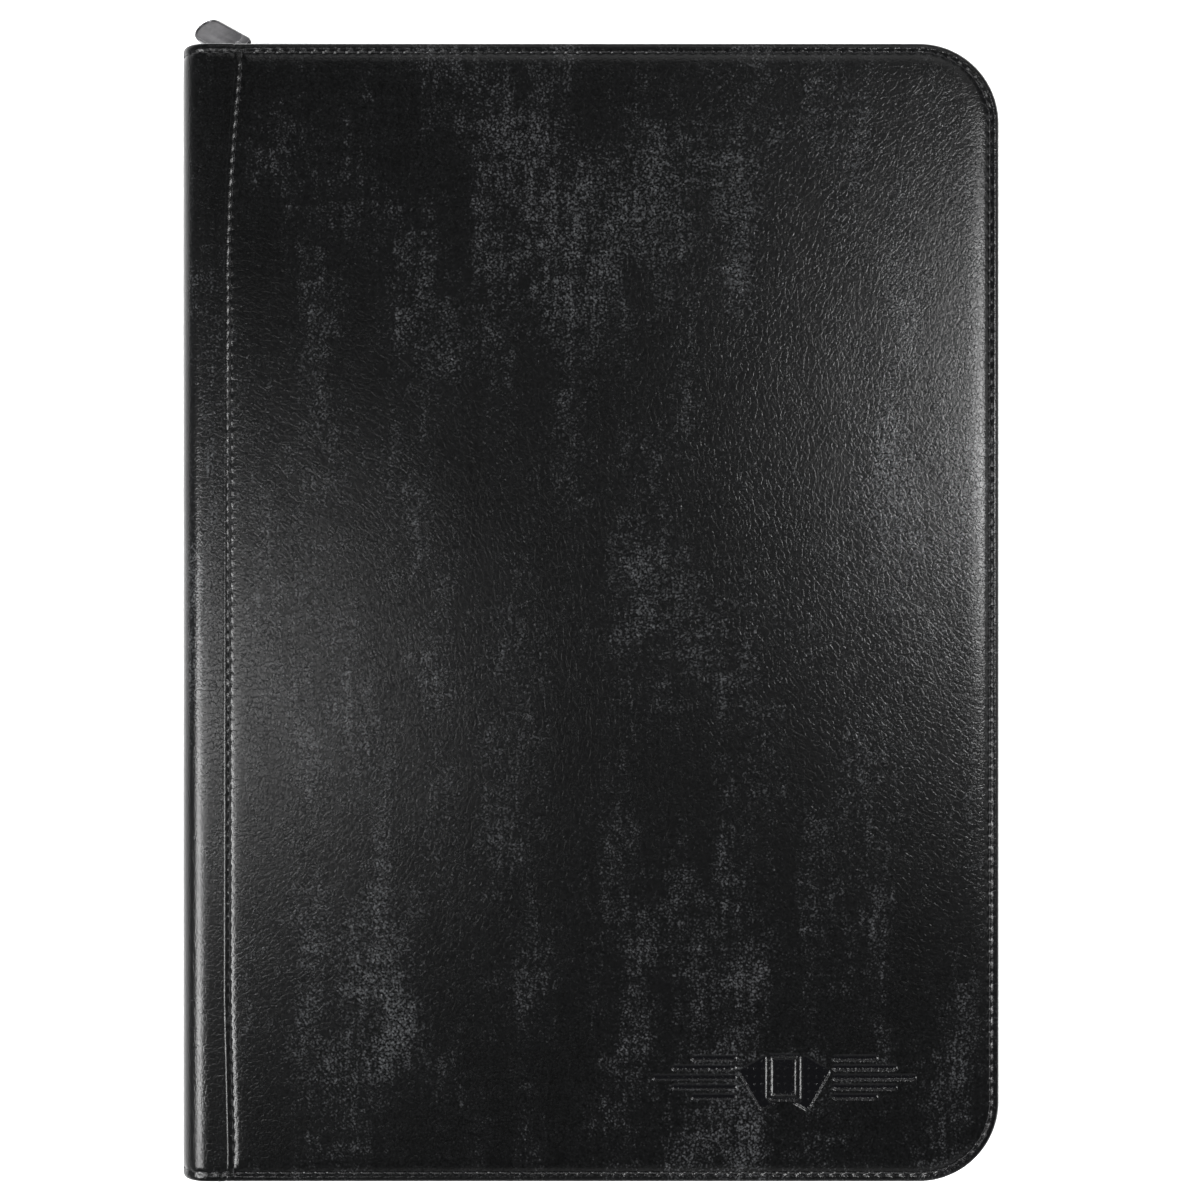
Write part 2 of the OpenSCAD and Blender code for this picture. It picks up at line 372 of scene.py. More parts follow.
# ---------------------------------------------------------------- covers
def cover_depth_map(maker, seed, with_emblem):
    """Adds a cover's outer face, with x, y and depth as its points. Returns the loop of its inner rim."""
    inset = EDGE_PROFILE[-1][0] * MM
    strip_w = FOLD_PROFILE[-1][0] * MM
    plan = rounded_grid(inset, lambda y: fold_x(y) + strip_w, GRID_STEP)
    grid = [[maker.add(x, y, wave(x, y, seed)) for x, y in column] for column in plan]
    fill_grid(maker, plan, grid, with_emblem)

    # The loops along the open edges.
    rim = Rim(plan[0][0][0], plan[0][-1][0], STITCH_INSET)
    pitch = rim.total / round(rim.total / STITCH_PITCH)
    coarse = [rim.distance_to(x, y) for x, y in grid_border(plan)]
    fine = subdivided(coarse, FINE_PER_COARSE)
    loops = []
    for number, (loop_inset, depth) in enumerate(EDGE_PROFILE[:-1]):
        places = fine if number < len(EDGE_PROFILE) - 1 - COARSE_LOOPS else coarse
        loops.append([rim_vertex(maker, rim, q, loop_inset * MM, depth * MM, pitch, seed) for q in places])
    maker.bands([*loops, grid_border(grid)])

    # The strip with the folded edge.
    lines = fold_lines(maker, plan, seed)
    bottom = [loop[0] for loop in loops]
    top = [loop[-1] for loop in loops]
    lines.append((bottom, grid[0], top[::-1]))
    for (low_a, mid_a, high_a), (low_b, mid_b, high_b) in zip(lines, lines[1:]):
        maker.band([*low_a, mid_a[0]], [*low_b, mid_b[0]])
        maker.band(mid_a, mid_b)
        maker.band([mid_a[-1], *high_a], [mid_b[-1], *high_b])
    low, middle, high = lines[0]
    return (
        loops[0]
        + [line[2][-1] for line in lines[-2:0:-1]]
        + high[::-1] + middle[::-1] + low[::-1]
        + [line[0][0] for line in lines[1:-1]]
    )


def rim_vertex(maker, rim, q, inset, depth, pitch, seed):
    """A point of one of the loops along the open edges, with the pucker of the stitches in its depth."""
    outline, normal = rim.at(q)
    x, y = outline - normal * inset
    on_top = smooth((inset - 1.2 * MM) / (1.2 * MM)) if depth < 2 * MM else 0.0
    near_stitch = row_pull(inset - STITCH_INSET)
    pucker = RIM_PUCKER * near_stitch * math.cos(2 * math.pi * q / pitch)
    vertex = maker.add(x, y, depth + on_top * (pucker + wave(x, y, seed)))
    maker.marks[vertex] = near_hole(near_stitch, q, pitch)
    return vertex


def fold_lines(maker, plan, seed):
    """The lines of the folded edge, each as its bottom end, its middle and its top end."""
    coarse_y = [y for _, y in plan[0]]
    fine_y = subdivided(coarse_y, FINE_PER_COARSE)
    edges = EDGE_PROFILE[:-1]
    lines = []
    for number, (distance, depth) in enumerate(FOLD_PROFILE[:-1]):
        ys = fine_y if number < len(FOLD_PROFILE) - COARSE_LOOPS else coarse_y
        near_stitch = row_pull(distance * MM - TOPSTITCH_INSET, 0.7 * MM)
        middle = []
        for y in ys:
            pucker = FOLD_PUCKER * near_stitch * math.cos(2 * math.pi * y / STITCH_PITCH)
            x = fold_x(y) + distance * MM
            extra = wave(x, y, seed) if 0 < distance and depth < 1 else 0.0
            middle.append(maker.add(x, y, depth * MM + pucker + extra))
            maker.marks[middle[-1]] = near_hole(near_stitch, y, STITCH_PITCH)
        ends = []                # the two short pieces that turn round the cover's edges
        for side in (-1, 1):
            end = []
            for edge_number, (inset, edge_depth) in enumerate(edges):
                deepest = max(depth, edge_depth)
                if number == 0 or edge_number == 0:
                    deepest = EDGE_PROFILE[0][1]
                y = side * (HALF_H - inset * MM)
                end.append(maker.add(fold_x(y) + distance * MM, y, deepest * MM))
            ends.append(end)
        lines.append((ends[0], middle, ends[1][::-1]))
    return lines


def fill_grid(maker, plan, grid, with_emblem):
    """Faces of the grid, with a finer patch where the emblem is pressed in."""
    inside = set()
    if with_emblem:
        inside = {
            (i, j)
            for i in range(len(grid) - 1)
            for j in range(len(grid[0]) - 1)
            if abs(plan[i][j][0] + GRID_STEP / 2 - EMBLEM_CENTRE.x) < EMBLEM_HALF.x + GRID_STEP
            and abs(plan[i][j][1] + GRID_STEP / 2 - EMBLEM_CENTRE.y) < EMBLEM_HALF.y + GRID_STEP
        }
    parts = EMBLEM_PER_COARSE
    fine = {}

    def fine_vertex(i, j):
        """The vertex at a place counted in fine steps, made when first asked for."""
        if i % parts == 0 and j % parts == 0:
            return grid[i // parts][j // parts]
        if (i, j) not in fine:
            corner_i, corner_j = min(i // parts, len(grid) - 2), min(j // parts, len(grid[0]) - 2)
            u, v = i / parts - corner_i, j / parts - corner_j
            corners = [maker.points[grid[corner_i + a][corner_j + b]] for a in (0, 1) for b in (0, 1)]
            weights = [(1 - u) * (1 - v), (1 - u) * v, u * (1 - v), u * v]
            x, y, z = (sum(w * c[k] for w, c in zip(weights, corners)) for k in range(3))
            fine[i, j] = maker.add(x, y, z + EMBLEM_DEPTH * emblem_pressing(x, y))
            maker.marks[fine[i, j]] = emblem_pressing(x, y)
        return fine[i, j]

    def side(i, j, step_i, step_j, is_fine):
        """The vertices along one side of a cell, without the last."""
        count = parts if is_fine else 1
        scale = parts // count
        steps = [k * scale for k in range(count)]
        return [fine_vertex(i * parts + step_i * k, j * parts + step_j * k) for k in steps]

    for i in range(len(grid) - 1):
        for j in range(len(grid[0]) - 1):
            if (i, j) in inside:
                for a in range(i * parts, (i + 1) * parts):
                    for b in range(j * parts, (j + 1) * parts):
                        corners = [(a, b), (a + 1, b), (a + 1, b + 1), (a, b + 1)]
                        maker.faces.append([fine_vertex(*corner) for corner in corners])
            else:
                maker.faces.append(
                    side(i, j, 1, 0, (i, j - 1) in inside)
                    + side(i + 1, j, 0, 1, (i + 1, j) in inside)
                    + side(i + 1, j + 1, -1, 0, (i, j + 1) in inside)
                    + side(i, j + 1, 0, -1, (i - 1, j) in inside)
                )


def outer_z(depth, front):
    """The height of a point at that depth below the front cover's face, or inside the back cover's."""
    return TOP_Z - depth if front else depth


def cover_leather(side, material):
    """The padded leatherette of one cover, closed behind by a flat face under the lining."""
    front = side == "front"
    maker = MeshMaker()
    rim_loop = cover_depth_map(maker, FRONT_SEED if front else BACK_SEED, front)
    maker.faces.append(rim_loop)
    maker.points = [(x, y, outer_z(depth, front)) for x, y, depth in maker.points]
    return maker.build(f"{side}_cover_leather", material, 60)


# ---------------------------------------------------------------- the spine's wrap
WRAP_STEP = 0.65 * MM
WRAP_LAP = 9.5 * MM              # how far the wrap runs past the bend, under the cover's folded edge
WRAP_STITCH_LAP = 7.2 * MM       # how far its stitches do
WRAP_SUNK = 0.5 * MM             # how far it lies below the cover's outline there
WRAP_TUCK = 0.4 * MM             # how far its ends draw in under the cover


class WrapSection:
    """Half of the spine's cross-section, from its middle, round the bend and under the cover."""

    straight = MID_Z - BEND_R
    bend = BEND_R * math.pi / 2
    total = straight + bend + WRAP_LAP

    @classmethod
    def at(cls, c):
        """Distance from the spine's face and depth from the cover's, and the outward direction in both."""
        if c <= cls.straight:
            return Vector((0, MID_Z - c)), Vector((-1, 0))
        if c <= cls.straight + cls.bend:
            angle = (c - cls.straight) / BEND_R
            normal = Vector((-math.cos(angle), -math.sin(angle)))
            return Vector((BEND_R, BEND_R)) + normal * BEND_R, normal
        return Vector((BEND_R + c - cls.straight - cls.bend, 0)), Vector((0, -1))

    @classmethod
    def sunk(cls, c):
        """How far the wrap lies below the outline, so that the cover's folded edge laps over it."""
        along = c - cls.straight
        return WRAP_SUNK * smooth(along / cls.bend * 1.6 - 0.6)

    @classmethod
    def point(cls, c, y, depth, front):
        """A point of the wrap, that far under its outer face. Its ends draw in where the cover laps over."""
        place, normal = cls.at(c)
        place = place - normal * (depth + cls.sunk(c))
        x = SPINE_X + place.x
        lapped = smooth((x - fold_x(y)) / MM + 0.7)
        return x, y * (1 - WRAP_TUCK / HALF_H * lapped), outer_z(place.y, front)


def wrap_rows():
    """The wrap's closed section along the spine: (y, depth), round the ends and back along the inside."""
    end = [(inset * MM, depth * MM) for inset, depth in WRAP_END_PROFILE]
    reach = HALF_H - end[-1][0]
    count = 2 * round(reach / GRID_STEP)
    outside = [(-reach + 2 * reach * k / count, 0.0) for k in range(1, count)]
    low = [(-HALF_H + inset, depth) for inset, depth in end]
    high = [(HALF_H - inset, depth) for inset, depth in reversed(end)]
    inner_reach = HALF_H - end[0][0]
    inner_count = 12
    inside = [(inner_reach - 2 * inner_reach * k / inner_count, end[0][1]) for k in range(1, inner_count)]
    return low + outside + high + inside


def spine_wrap(side, material):
    """Half of the leatherette that wraps the spine, the half on one cover's side."""
    front = side == "front"
    maker = MeshMaker()
    count = round(WrapSection.total / WRAP_STEP)
    rows = []
    for y, depth in wrap_rows():
        from_end = HALF_H - abs(y)
        outside = depth < MM
        near_stitch = row_pull(from_end - STITCH_INSET) if outside else 0.0
        row = []
        for k in range(count + 1):
            c = WrapSection.total * k / count
            pucker = WRAP_PUCKER * near_stitch * math.cos(2 * math.pi * c / STITCH_PITCH)
            unevenness = 0.4 * wave(c, y, WRAP_SEED) if outside and from_end > 2 * MM else 0.0
            row.append(maker.add(*WrapSection.point(c, y, depth + pucker + unevenness, front)))
            maker.marks[row[-1]] = near_hole(near_stitch, c, STITCH_PITCH)
        rows.append(row)
    maker.bar(rows)
    return maker.build(f"{side}_spine_wrap", material, 60)


def bend_with(piece, side, slot, *nodes):
    """Bakes where the piece lies into its mesh and hides the CAD nodes that it stands for."""
    front = side == "front"
    if front:
        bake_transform(piece)
    else:
        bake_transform(piece)
    if nodes:
        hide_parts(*nodes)
    return piece


# ---------------------------------------------------------------- stitches
THREAD_R = 0.24 * MM
# One stitch from hole to hole: (share of the pitch, depth of the thread's middle).
STITCH_PROFILE = [
    (0.06, 1.25), (0.1, 0.8), (0.2, 0.45), (0.36, 0.34), (0.5, 0.32), (0.64, 0.34), (0.8, 0.45), (0.9, 0.8),
    (0.94, 1.25),
]
THREAD_SIDES = 7


def stitch_row(maker, place, length, sink, seed, past_ends=0):
    """Adds a row of stitches, some past its ends.

    place(q, depth, across) gives a point at distance q along the row, that far inwards and sideways.
    """
    rng = random.Random(seed)
    count = round(length / STITCH_PITCH)
    pitch = length / count
    for number in range(-past_ends, count + past_ends):
        slant = rng.uniform(-0.1, 0.1) * MM
        lift = rng.uniform(-0.04, 0.04) * MM
        rings = []
        for share, depth in STITCH_PROFILE:
            q = (number + share) * pitch
            middle = depth * MM + sink - lift
            ring = []
            for k in range(THREAD_SIDES):
                angle = 2 * math.pi * k / THREAD_SIDES
                across = THREAD_R * math.cos(angle) + slant * (share - 0.5) * 2
                ring.append(place(q, middle - THREAD_R * math.sin(angle), across))
            rings.append(ring)
        maker.tube(rings)


def cover_stitches(side, material):
    """The stitch row round a cover's open edges and the one beside its folded edge."""
    front = side == "front"
    inset = EDGE_PROFILE[-1][0] * MM
    reach = HALF_H - inset
    strip_w = FOLD_PROFILE[-1][0] * MM
    rim = Rim(fold_x(-reach) + strip_w, fold_x(reach) + strip_w, STITCH_INSET)
    maker = MeshMaker()

    def along_rim(q, depth, across):
        outline, normal = rim.at(q)
        x, y = outline - normal * (STITCH_INSET + across)
        return x, y, outer_z(depth, front)

    def along_fold(q, depth, across):
        y = -reach + q
        return fold_x(y) + TOPSTITCH_INSET + across, y, outer_z(depth, front)

    stitch_row(maker, along_rim, rim.total, 0.3 * MM, 3, past_ends=1)
    stitch_row(maker, along_fold, 2 * reach, 0.1 * MM, 4, past_ends=2)
    return maker.build(f"{side}_cover_stitches", material)


def wrap_stitches(side, material):
    """The short stitch rows across the ends of the spine."""
    front = side == "front"
    maker = MeshMaker()
    for end in (-1, 1):
        def across_end(c, depth, across, end=end):
            return WrapSection.point(c, end * (HALF_H - STITCH_INSET - across), depth, front)

        stitch_row(maker, across_end, WrapSection.total - WRAP_LAP + WRAP_STITCH_LAP, 0.0, 5 + end)
    return maker.build(f"{side}_spine_stitches", material)


# ---------------------------------------------------------------- linings
LINING_T = 0.35 * MM
HINGE_CLOTH_DEPTH = 10.5 * MM    # where it leaves the spine's lining
HINGE_CLOTH_LAP = 6 * MM         # how far it runs over the cover's lining
HINGE_CLOTH_GAP = 0.15 * MM      # its middle's height over that lining


def closed_sheet(maker, columns, thickness):
    """A closed thin sheet from columns of points (top face) and the thickness that it has along Z."""
    top = [[maker.add(*p) for p in column] for column in columns]
    under = [[maker.add(x, y, z - thickness) for x, y, z in column] for column in columns]
    maker.sheet(top, under)


def cover_lining(side, material):
    """The cloth glued over the inside of a cover, a little uneven where it is turned in."""
    front = side == "front"
    inset = 1.1 * MM
    maker = MeshMaker()
    columns = []
    for column in rounded_grid(inset, lambda y: PANEL_X + 0.6 * MM, 6 * MM):
        points = []
        for x, y in column:
            depth = COVER_T + 0.02 * MM - 0.5 * wave(x, y, LINING_SEED)
            points.append((x, y, outer_z(depth, front)))
        columns.append(points)
    closed_sheet(maker, columns, -LINING_T if front else LINING_T)
    return maker.build(f"{side}_cover_lining", material)


def section_sheet(name, section, reach, thickness, material, step=6 * MM):
    """A thin closed sheet that has the same section, points (x, z), all along the spine."""
    maker = MeshMaker()
    count = 2 * round(reach / step)
    ys = [-reach + 2 * reach * k / count for k in range(count + 1)]
    faces = []
    for offset in (-thickness / 2, thickness / 2):
        rows = []
        for k, (x, z) in enumerate(section):
            before = Vector(section[max(k - 1, 0)])
            after = Vector(section[min(k + 1, len(section) - 1)])
            along = (after - before).normalized()
            normal = Vector((-along.y, along.x))
            rows.append([maker.add(x + normal.x * offset, y, z + normal.y * offset) for y in ys])
        faces.append(rows)
    maker.sheet(*faces)
    return maker.build(name, material)


def hinge_lining(side, material):
    """The cloth that crosses the hinge, from the spine's lining to the cover's."""
    front = side == "front"
    spine_face = spine_lining_high.x + 0.25 * MM
    start = Vector((spine_face, HINGE_CLOTH_DEPTH))
    turn = Vector((spine_face, COVER_T + HINGE_CLOTH_GAP))
    end = Vector((PANEL_X + HINGE_CLOTH_LAP, COVER_T + HINGE_CLOTH_GAP))
    count = 18
    section = []
    for k in range(count + 1):
        t = k / count
        place = start * (1 - t) ** 2 + turn * 2 * t * (1 - t) + end * t * t
        section.append((place.x, outer_z(place.y, front)))
    return section_sheet(f"{side}_hinge_lining", section, HALF_H - 2.2 * MM, 0.3 * MM, material)


def spine_lining(material):
    """The cloth over the spine's board."""
    x = spine_lining_high.x - LINING_T / 2 + 0.05 * MM
    count = 12
    low, high = spine_lining_low.z, spine_lining_high.z
    section = [(x, low + (high - low) * k / count) for k in range(count + 1)]
    return section_sheet("spine_lining_cloth", section, spine_lining_high.y, LINING_T, material)


# ---------------------------------------------------------------- zip
TAPE_T = 0.6 * MM
TOOTH_PITCH = 1.3 * MM
TOOTH_WIRE_R = 0.31 * MM
TAPE_LENGTH_Z = coil_low.z - COVER_T + 1.2 * MM
TAPE_SWAY = 0.22 * MM
# Half of a tape's section: (share of its rise, how far it bulges beyond the cloth's thickness, in mm).
TAPE_BULGES = [
    (0.0, 0.0), (0.12, 0.0), (0.3, 0.0), (0.5, 0.0), (0.68, 0.05), (0.8, 0.0), (0.87, 0.2), (0.93, 0.24),
    (1.0, 0.0),
]
# One turn of the coil: (outwards, height from the middle plane, along the tape).
TOOTH_PATH = [
    (0.72, -2.75, -0.1), (0.86, -2.0, -0.08), (0.92, -0.6, -0.04), (0.8, 0.28, -0.02), (0.42, 0.66, 0.0),
    (-0.42, 0.66, 0.0), (-0.8, 0.28, 0.02), (-0.92, -0.6, 0.04), (-0.86, -2.0, 0.08), (-0.72, -2.75, 0.1),
]


def zip_tape(side, material):
    """One woven tape, standing up from the cover's lining along its open edges."""
    front = side == "front"
    rim = Rim(PANEL_X, PANEL_X, ZIP_INSET)
    count = round(rim.total / (2 * MM))
    section = [(TAPE_T / 2 + bulge * MM, height) for height, bulge in TAPE_BULGES]
    section += [(-outwards, height) for outwards, height in reversed(section)]
    maker = MeshMaker()
    rows = []
    for outwards, height in section:
        row = []
        for k in range(count + 1):
            q = rim.total * k / count
            outline, normal = rim.at(q)
            belly = math.sin(math.pi * min(height / 0.8, 1.0))
            sway = TAPE_SWAY * belly * noise.noise(Vector((q / (20 * MM), 3.0, TAPE_SEED)))
            x, y = outline - normal * (ZIP_INSET - outwards - sway)
            row.append(maker.add(x, y, outer_z(COVER_T - 0.1 * MM + height * TAPE_LENGTH_Z, front)))
        rows.append(row)
    maker.bar(rows)
    return maker.build(f"{side}_zip_tape_cloth", material), rim.total


def coil_teeth(side, material):
    """One side of the nylon coil, turn by turn. The two sides are half a pitch apart, so they mesh."""
    front = side == "front"
    up = -1 if front else 1
    rim = Rim(coil_low.x, coil_low.x, ZIP_INSET)
    count = round(rim.total / TOOTH_PITCH)
    pitch = rim.total / count
    sides = 6
    maker = MeshMaker()
    for number in range(count - 1):
        q = (number + (0.5 if front else 1.0)) * pitch
        outline, normal = rim.at(q)
        tangent = Vector((-normal.y, normal.x))
        rings = []
        for k, (outwards, height, along) in enumerate(TOOTH_PATH):
            before = TOOTH_PATH[max(k - 1, 0)]
            after = TOOTH_PATH[min(k + 1, len(TOOTH_PATH) - 1)]
            forward = Vector((after[0] - before[0], after[1] - before[1])).normalized()
            ring = []
            for s in range(sides):
                angle = 2 * math.pi * s / sides
                sideways = TOOTH_WIRE_R * math.cos(angle)
                outer = TOOTH_WIRE_R * math.sin(angle)
                across = outwards * MM + forward.y * outer
                rise = height * MM - forward.x * outer
                x, y = outline - normal * (ZIP_INSET - across) + tangent * (along * MM + sideways)
                ring.append((x, y, MID_Z + up * rise))
            rings.append(ring)
        maker.tube(rings)
    return maker.build(f"{side}_coil_teeth", material)


GUSSET_T = 0.5 * MM
GUSSET_LAP = 0.6 * MM            # how far its sides tuck under the spine and the tape
GUSSET_FOLD = 1.1 * MM           # how far it folds inwards


def gusset(side, end, material):
    """Half of the cloth that closes the corner between the spine and the end of the tapes."""
    front = side == "front"
    count = 10
    low_x = gusset_low.x - GUSSET_LAP
    high_x = gusset_high.x + GUSSET_LAP
    maker = MeshMaker()
    faces = []
    for face in (-1, 1):
        rows = []
        for i in range(count + 1):
            row = []
            for j in range(count + 1):
                s = i / count
                x = low_x + (high_x - low_x) * s
                depth = COVER_T - 0.05 * MM + (MID_Z - COVER_T + 0.05 * MM) * j / count
                fold = GUSSET_FOLD * math.sin(math.pi * s) * math.sin(math.pi * j / count / 2)
                y = end * (ZIP_Y - fold + face * GUSSET_T / 2)
                row.append(maker.add(x, y, outer_z(depth, front)))
            rows.append(row)
        faces.append(rows)
    maker.sheet(*faces)
    name = f"{side}_{'top' if end > 0 else 'bottom'}_gusset_cloth"
    return maker.build(name, material)


# ---------------------------------------------------------------- slider and pull
def bevelled_plate(outlines, thickness, bevel, matrix):
    """A flat plate with rounded edges, from closed outlines. An outline within another is a hole."""
    curve = bpy.data.curves.new("plate", "CURVE")
    curve.dimensions = "2D"
    curve.fill_mode = "BOTH"
    curve.extrude = thickness / 2 - bevel
    curve.bevel_depth = bevel
    curve.bevel_resolution = 3
    curve.offset = -bevel
    for outline in outlines:
        spline = curve.splines.new("POLY")
        spline.points.add(len(outline) - 1)
        for point, (x, y) in zip(spline.points, outline):
            point.co = (x, y, 0, 1)
        spline.use_cyclic_u = True
    holder = bpy.data.objects.new("plate", curve)
    mesh = bpy.data.meshes.new_from_object(holder)
    bpy.data.objects.remove(holder)
    bpy.data.curves.remove(curve)
    mesh.transform(matrix)
    return mesh


def join_meshes(meshes):
    """One mesh from several, welded where they share points."""
    work = bmesh.new()
    for mesh in meshes:
        work.from_mesh(mesh)
        bpy.data.meshes.remove(mesh)
    bmesh.ops.remove_doubles(work, verts=work.verts, dist=1e-6)
    joined = bpy.data.meshes.new("joined")
    work.to_mesh(joined)
    work.free()
    return joined


def arc_points(centre, radius, start, stop, count):
    """Points along an arc, from start to stop degrees."""
    angles = [math.radians(start + (stop - start) * k / count) for k in range(count + 1)]
    return [(centre[0] + radius * math.cos(a), centre[1] + radius * math.sin(a)) for a in angles]


def block(low, high, bevel):
    """A block with rounded edges, between two corners."""
    middle = (Vector(low) + Vector(high)) / 2
    size = Vector(high) - Vector(low)
    corners = ((-1, -1), (1, -1), (1, 1), (-1, 1))
    outline = [(x * size.x / 2, y * size.y / 2) for x, y in corners]
    return bevelled_plate([outline], size.z, bevel, Matrix.Translation(middle))


PLATE_T = 1.0 * MM
PLATE_BEVEL = 0.35 * MM
LIP_T = 0.8 * MM
LIP_RISE, LIP_ROOT = 0.75 * MM, 0.4 * MM
POST_HALF_L, POST_HALF_T = 1.2 * MM, 0.4 * MM
POST_SETBACK = 1.7 * MM          # from the slider's wide end to the middle of the post


def slider_mesh():
    """Two shield-shaped plates with lips along their sides, joined by the post that parts the teeth."""
    middle = Vector(((slider_low.x + slider_high.x) / 2, ZIP_Y, MID_Z))
    half_l = (slider_high.x - slider_low.x) / 2
    half_w = (slider_high.z - slider_low.z) / 2
    shoulder = 1.4 * MM
    tail = arc_points((half_l - half_w, 0), half_w, -78, 78, 18)
    outline = [(-half_l + shoulder, half_w), (-half_l, half_w - shoulder), (-half_l, -half_w + shoulder),
               (-half_l + shoulder, -half_w), *tail]
    upright = Matrix.Rotation(math.radians(90), 4, "X")
    parts = []
    for face_y in (slider_low.y + PLATE_T / 2, slider_high.y - PLATE_T / 2):
        place = Matrix.Translation((middle.x, face_y, middle.z)) @ upright
        parts.append(bevelled_plate([outline], PLATE_T, PLATE_BEVEL, place))
    start_x = middle.x - half_l + shoulder
    stop_x = middle.x + half_l - 2.2 * MM
    for face_y, inwards in ((slider_low.y + PLATE_T, 1), (slider_high.y - PLATE_T, -1)):
        for side in (-1, 1):
            z = middle.z + side * (half_w - LIP_T / 2)
            low_y, high_y = sorted((face_y - inwards * LIP_ROOT, face_y + inwards * LIP_RISE))
            low = (start_x, low_y, z - LIP_T / 2)
            high = (stop_x, high_y, z + LIP_T / 2)
            parts.append(block(low, high, 0.25 * MM))
    post_x = middle.x - half_l + POST_SETBACK
    low = (post_x - POST_HALF_L, slider_low.y + 0.3 * MM, middle.z - POST_HALF_T)
    high = (post_x + POST_HALF_L, slider_high.y - 0.3 * MM, middle.z + POST_HALF_T)
    parts.append(block(low, high, 0.1 * MM))
    return join_meshes(parts)


def bail_mesh():
    """The arch on the slider: a flat strap bent over a slot."""
    rise = bail_high.y - bail_low.y
    half_l = (bail_high.x - bail_low.x) / 2
    bar = 1.0 * MM
    outer_r = 1.3 * MM
    inner_r = 0.5 * MM
    foot = -0.3 * MM
    outer = [(-half_l, foot), (half_l, foot)]
    outer += arc_points((half_l - outer_r, rise - outer_r), outer_r, 0, 90, 8)
    outer += arc_points((-half_l + outer_r, rise - outer_r), outer_r, 90, 180, 8)
    hole_l = half_l - 1.2 * MM
    hole_h = rise - bar
    hole = [(-hole_l, 0.05 * MM), (hole_l, 0.05 * MM)]
    hole += arc_points((hole_l - inner_r, hole_h - inner_r), inner_r, 0, 90, 5)
    hole += arc_points((-hole_l + inner_r, hole_h - inner_r), inner_r, 90, 180, 5)
    place = Matrix.Translation(((bail_low.x + bail_high.x) / 2, bail_low.y, MID_Z))
    return bevelled_plate([outer, hole], bail_high.z - bail_low.z, 0.28 * MM, place)


RING_R = 3.4 * MM
RING_WIRE_R = 0.45 * MM
TAB_W = 9.5 * MM
TAB_T = 1.6 * MM
TAB_REACH = 21.5 * MM
TAB_EYE_R = 0.9 * MM
TAB_NECK = 1.8 * MM              # from the eye's middle back to the tab's square end
TAB_DROOP = math.radians(37)


def pull_place(droop):
    """From the pull's own axes to its place at the ring's middle: +X along it, +Y square to the ring."""
    joint = JOINTS["pull_tab_tilt"]
    square = Vector(joint["axis"])
    along = Vector((square.y, -square.x, 0)).normalized()
    own_axes = Matrix((along, square, along.cross(square))).transposed().to_4x4()
    return Matrix.Translation(Vector(joint["pos_m"])) @ own_axes @ Matrix.Rotation(droop, 4, "Y")


def ring_wire(material):
    """The round wire ring between the bail and the tab, which stands upright."""
    maker = MeshMaker()
    place = pull_place(0) @ Matrix.Rotation(math.radians(90), 4, "X")
    around, sides = 48, 14
    rows = []
    for k in range(around):
        angle = 2 * math.pi * k / around
        out = Vector((math.cos(angle), math.sin(angle), 0))
        row = []
        for s in range(sides):
            turn = 2 * math.pi * s / sides
            local = out * (RING_R + RING_WIRE_R * math.cos(turn))
            local.z = RING_WIRE_R * math.sin(turn)
            row.append(maker.add(*(place @ local)))
        rows.append([*row, row[0]])
    maker.bands(rows, closed=True)
    return maker.build("pull_ring_wire", material)


def tab_outline(inset, from_x):
    """The tab's outline from from_x to its round tip along +X, moved in by inset. Its eye is the origin."""
    half_w = TAB_W / 2 - inset
    shoulder_r = 1.5 * MM
    shoulder_x = from_x + shoulder_r
    points = arc_points((TAB_REACH - RING_R, 0), half_w, -90, 90, 28)
    points += arc_points((shoulder_x, half_w - shoulder_r), shoulder_r, 90, 180, 8)
    points += arc_points((shoulder_x, -half_w + shoulder_r), shoulder_r, 180, 270, 8)
    return points


def tab_mesh():
    """The pull tab: a plate with a raised, rounded rim round a shallow dish, and an eye for the ring."""
    place = pull_place(TAB_DROOP) @ Matrix.Translation((RING_R, 0, 0))
    eye = arc_points((0, 0), TAB_EYE_R, 0, 350, 35)
    dish = tab_outline(0.75 * MM, TAB_EYE_R + 1.1 * MM)
    web_outline = tab_outline(0.3 * MM, -TAB_NECK + 0.3 * MM)
    web = bevelled_plate([web_outline, eye], TAB_T - 0.5 * MM, 0.15 * MM, place)
    rim = bevelled_plate([tab_outline(0, -TAB_NECK), dish, eye], TAB_T, 0.32 * MM, place)
    return join_meshes([web, rim])


# ---------------------------------------------------------------- pages
ROOT_W = 13 * MM                 # the plain film between a page's bend and its pockets
POCKETS = 3                      # both along a page and across it
POCKET_BORDER = 4 * MM
POCKET_RAMP = 0.7 * MM


